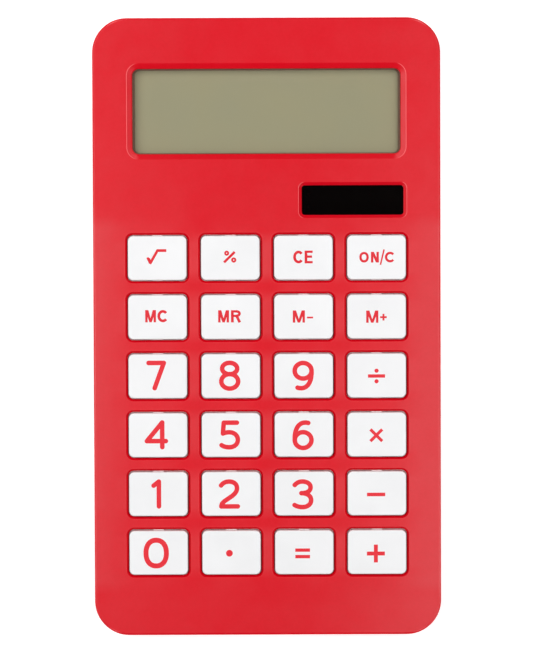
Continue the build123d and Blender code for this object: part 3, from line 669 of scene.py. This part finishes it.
# The print over the whole keypad is a little to the left, stretched, and turned clockwise.
print_shift, print_stretch, print_turn = -0.3, 0.0055, radians(-0.33)


def counter_clockwise(outline):
    points = [Vector(point) for point in outline]
    area = sum(a.cross(b) for a, b in zip(points, points[1:] + points[:1]))
    return points if area > 0 else points[::-1]


def union_mesh(name, outlines, thickness, holes=()):
    """A flat-topped solid over the outlines less the holes, in metres, top at z = 0."""
    corners, faces = [], []
    for outline in [*outlines, *holes]:
        start = len(corners)
        corners += [point * MM for point in counter_clockwise(outline)]
        faces.append(list(range(start, len(corners))))
    found, _, triangles, _, _, owners = delaunay_2d_cdt(corners, [], faces, 0, 1e-7)
    mesh = bpy.data.meshes.new(name)
    shape = bmesh.new()
    vertices = [shape.verts.new((point.x, point.y, 0.0)) for point in found]
    for triangle, owner in zip(triangles, owners):
        if owner and max(owner) < len(outlines):
            shape.faces.new([vertices[index] for index in triangle])
    bmesh.ops.delete(
        shape, geom=[vertex for vertex in shape.verts if not vertex.link_faces], context="VERTS"
    )
    bmesh.ops.dissolve_limit(shape, angle_limit=radians(1), verts=shape.verts, edges=shape.edges)
    bmesh.ops.recalc_face_normals(shape, faces=shape.faces)
    for flat in shape.faces:
        if flat.normal.z < 0:
            flat.normal_flip()
    top = list(shape.faces)
    grown = bmesh.ops.extrude_face_region(shape, geom=top)
    sunk = [item for item in grown["geom"] if isinstance(item, bmesh.types.BMVert)]
    bmesh.ops.translate(shape, verts=sunk, vec=(0, 0, -thickness * MM))
    bmesh.ops.recalc_face_normals(shape, faces=shape.faces)
    shape.to_mesh(mesh)
    shape.free()
    return mesh


def key_top(node):
    """The frame at the middle of a key's top: X right, Y up the slope, Z out."""
    tilt = Matrix.Rotation(FACE_TILT, 4, "X")
    level = [tilt.inverted() @ vertex.co for vertex in frame["nodes"][node].data.vertices]
    spans = [(min(p[i] for p in level), max(p[i] for p in level)) for i in range(3)]
    middle = Vector((sum(spans[0]) / 2, sum(spans[1]) / 2, spans[2][1]))
    return Matrix.Translation(tilt @ middle) @ tilt


def print_offset(x, y):
    """How far right of and above the middle of the key at x, y its legend is printed."""
    up = y - keypad_middle_y
    right_of_middle = print_shift + print_stretch * x - print_turn * up
    return right_of_middle, print_stretch * up + print_turn * x


def put(name, mesh, look, place, body):
    """A new piece in its place, riding on a body."""
    mesh.materials.append(look.material)
    piece = bpy.data.objects.new(name, mesh)
    bpy.context.scene.collection.objects.link(piece)
    piece.matrix_world = place
    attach(piece, body)
    return piece


ink_proud, ink_depth = 0.015, 0.06
lettered_rows = key_order[-2:]
for y, names in zip(key_rows, key_order):
    used_ink = fine_ink if names in lettered_rows else ink
    for x, key in zip(key_columns, names):
        mesh = union_mesh(f"legend_{key}", digits.get(key) or symbols[key], ink_depth)
        offset = Matrix.Translation(Vector((*print_offset(x, y), ink_proud)) * MM)
        place = key_top(f"key_{key}") @ offset
        put(f"legend_{key}", mesh, used_ink, place, f"key_{key}")

# ---------------------------------------------------------------- inner pieces
face_middle = 12.599         # height of the top face over the origin
web_top, crown_top, pill_top = 4.6, 3.05, 3.7          # all depths below the top face
board_top, board_bottom, behind_lens, solar_back = 5.2, 6.4, 3.22, 3.1
face_frame = Matrix.Translation((0, 0, face_middle * MM)) @ Matrix.Rotation(FACE_TILT, 4, "X")


def on_face(x, y, depth):
    """A frame on the plane this far below the sloping face: Z square to it."""
    return face_frame @ Matrix.Translation(Vector((x, y, -depth)) * MM)


def lathe(name, profile, steps=36):
    """A solid of revolution about Z from (radius, height) points in millimetres."""
    mesh = bpy.data.meshes.new(name)
    shape = bmesh.new()
    rings = []
    for radius, height in profile:
        count = steps if radius > 0 else 1
        turns = [2 * pi * step / count for step in range(count)]
        rings.append(
            [
                shape.verts.new((radius * cos(t) * MM, radius * sin(t) * MM, height * MM))
                for t in turns
            ]
        )
    for low, high in zip(rings, rings[1:] + rings[:1]):
        if len(low) == len(high) == 1:
            continue
        for step in range(steps):
            after = (step + 1) % steps
            corners = [low[step % len(low)], low[after % len(low)]]
            corners += [high[after % len(high)], high[step % len(high)]]
            shape.faces.new(list(dict.fromkeys(corners)))
    bmesh.ops.recalc_face_normals(shape, faces=shape.faces)
    shape.to_mesh(mesh)
    shape.free()
    mesh.polygons.foreach_set("use_smooth", [True] * len(mesh.polygons))
    mesh.set_sharp_from_angle(angle=radians(35))
    return mesh


# The rubber mat: a flat web, and over each contact a crown that goes down with its key, above a
# thin skirt that stays with the case. The web has a hole under each key and one round each screw
# boss.
mat_width, mat_length, mat_corner = 84.6, 103.4, 3.0
dome_hole_radius, boss_hole_radius = 4.4, 2.2
bosses = [
    (x, keypad_middle_y + rows * row_pitch)
    for x in (-column_pitch, column_pitch)
    for rows in (2, 0, -2)
]
mat_holes = [disc((x, y), dome_hole_radius) for x in key_columns for y in key_rows]
mat_holes += [disc(place, boss_hole_radius) for place in bosses]
mat_outline = rounded_bar(0, keypad_middle_y, mat_width, mat_length, mat_corner)
mat = union_mesh("mat_web", [mat_outline], board_top - web_top, mat_holes)
web = put("mat_web", mat, looks["silicone"], on_face(0, 0, web_top), "housing")
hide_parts("rubber_keypad")

crown_profile = [(0, 0), (2.7, 0), (3.05, -0.02), (3.3, -0.1), (3.60, -0.28), (3.84, -0.5)]
crown_profile += [(2.0, -0.5), (2.0, -0.65), (0, -0.65)]
skirt_profile = [(3.84, 1.05), (4.22, 0.72), (4.62, 0.36), (4.98, 0.03), (4.98, 0.0)]
skirt_profile += [(3.80, 0.0), (3.78, 0.02), (3.44, 0.36), (3.04, 0.72), (2.66, 1.05)]
pill_profile = [(0, 0), (1.85, 0), (1.97, -0.08), (1.97, -0.34), (1.88, -0.4), (0, -0.4)]
for y, names in zip(key_rows, key_order):
    for x, key in zip(key_columns, names):
        body = f"key_{key}"
        crown = lathe(f"dome_crown_{key}", crown_profile)
        top = on_face(x, y, crown_top)
        piece = put(crown.name, crown, looks["silicone"], top, body)
        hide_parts("rubber_keypad")
        pill = lathe(f"pill_{key}", pill_profile)
        top = on_face(x, y, pill_top)
        piece = put(pill.name, pill, looks["carbon_rubber"], top, body)
        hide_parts("contact_pills")
        skirt = lathe(f"dome_skirt_{key}", skirt_profile)
        foot = on_face(x, y, web_top)
        piece = put(skirt.name, skirt, looks["silicone"], foot, "housing")
        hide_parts("rubber_keypad")
        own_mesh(piece)

# A dark printed border round the back of the display lens, whose brownish colour is painted
# shade: it stands in for the shadow round the edges of the display.
display_y = 61.9
frame_outline = bar(0, 0, 80.0, 28.2)
frame_hole = rounded_bar(0.0, 0.0, 75.5, 23.6, 1.4)
mask_mesh = union_mesh("lens_print_shade", [frame_outline], ink_depth, [frame_hole])
place = on_face(0, display_y, behind_lens)
put("lens_print_shade", mask_mesh, lens_print_shade, place, "housing")

flipped = Matrix.Rotation(pi, 4, "X")


def facing_down(x, y, z):
    """A level frame at a height over the origin, with Z down."""
    return Matrix.Translation(Vector((x, y, z)) * MM) @ flipped


# Solder where the battery leads and the resistors' legs meet the board, at both ends of
# the solar cell's leads, and on the tails of the battery contacts.
blob = [(0, 0.5), (0.4, 0.46), (0.62, 0.3), (0.8, 0.1), (0.95, 0.0), (0, 0)]
battery_pads = [(-4.0, 37.5), (9.0, 37.5)]
resistor_places, leg_ends = [(-34, 26), (-34, 30), (29, 33)], (-1.4, 4.8)
leg_pads = [(x + end, y) for x, y in resistor_places for end in leg_ends]
solar_lead_rows, solar_lead_shift = (38.0, 34.6), 2.4
cell_y, tail_height = 72.0, 5.95
joints = [on_face(x, y, board_bottom) @ flipped for x, y in battery_pads + leg_pads]
joints += [on_face(8.4, y - solar_lead_shift, board_top) for y in solar_lead_rows]
joints += [on_face(12.0, y, solar_back) @ flipped for y in solar_lead_rows]
joints += [facing_down(0, 59.4, tail_height), facing_down(15.9, cell_y, tail_height)]
for number, place in enumerate(joints):
    mesh = lathe(f"solder_{number}", blob, 20)
    put(f"solder_{number}", mesh, solder, place, "housing")

# A plus sign on the cell, and a thin printed border on the blank label, both seen from below.
mark_depth = 0.03
plus = union_mesh("cell_plus", [bar(0, 0, 3.0, 0.5), bar(0, 0, 0.5, 3.0)], mark_depth)
put("cell_plus", plus, cell_mark, facing_down(0, cell_y, 2.735), "housing")
outer, inner = rounded_bar(0, 0, 53.0, 27.0, 1.0), rounded_bar(0, 0, 52.2, 26.2, 0.7)
border = union_mesh("label_border", [outer], mark_depth, [inner])
put("label_border", border, cell_mark, facing_down(0, -8.0, 1.04), "housing")

# ---------------------------------------------------------------- studio
floor_reach, floor_height = 3.0, -0.02 * MM
corners = [(-1, -1), (1, -1), (1, 1), (-1, 1)]
floor_mesh = bpy.data.meshes.new("floor")
floor_mesh.from_pydata(
    [(x * floor_reach, y * floor_reach, floor_height) for x, y in corners], [], [(0, 1, 2, 3)]
)
floor = bpy.data.objects.new("floor", floor_mesh)
bpy.context.scene.collection.objects.link(floor)
paper = Look("floor_white", (250, 250, 250), 0.7)
paper.mottle(400.0, (248, 248, 248))
paper.shader.inputs["Emission Color"].default_value = (1, 1, 1, 1)
paper.shader.inputs["Emission Strength"].default_value = 0.5
floor_mesh.materials.append(paper.material)


def softbox(name, place, size, power, aim):
    """A rectangular area light that faces a point."""
    data = bpy.data.lights.new(name, "AREA")
    data.shape = "RECTANGLE"
    data.size, data.size_y = size
    data.energy = power
    light = bpy.data.objects.new(name, data)
    light.location = place
    toward = Vector(aim) - Vector(place)
    light.rotation_euler = toward.to_track_quat("-Z", "Y").to_euler()
    bpy.context.scene.collection.objects.link(light)


# Two large panels beside the camera face straight down, and two weak ones face the near
# end of the case from its sides.
softbox("softbox_left", (-0.63, 0.24, 0.80), (0.94, 0.94), 8.7, (-0.63, 0.24, 0.0))
softbox("softbox_right", (0.42, 0.13, 0.80), (0.52, 1.04), 5.15, (0.42, 0.13, 0.0))
near_end = (0.0, -0.08, 0.0)
for side, name in ((-1, "fill_left"), (1, "fill_right")):
    softbox(name, (side * 0.9, -0.75, 0.75), (0.4, 0.4), 1.2, near_end)

world = bpy.data.worlds.new("studio")
world.use_nodes = True
background = world.node_tree.nodes["Background"]
background.inputs["Color"].default_value = (1, 1, 1, 1)
background.inputs["Strength"].default_value = 0.06
bpy.context.scene.world = world
bpy.context.scene.view_settings.view_transform = "Standard"
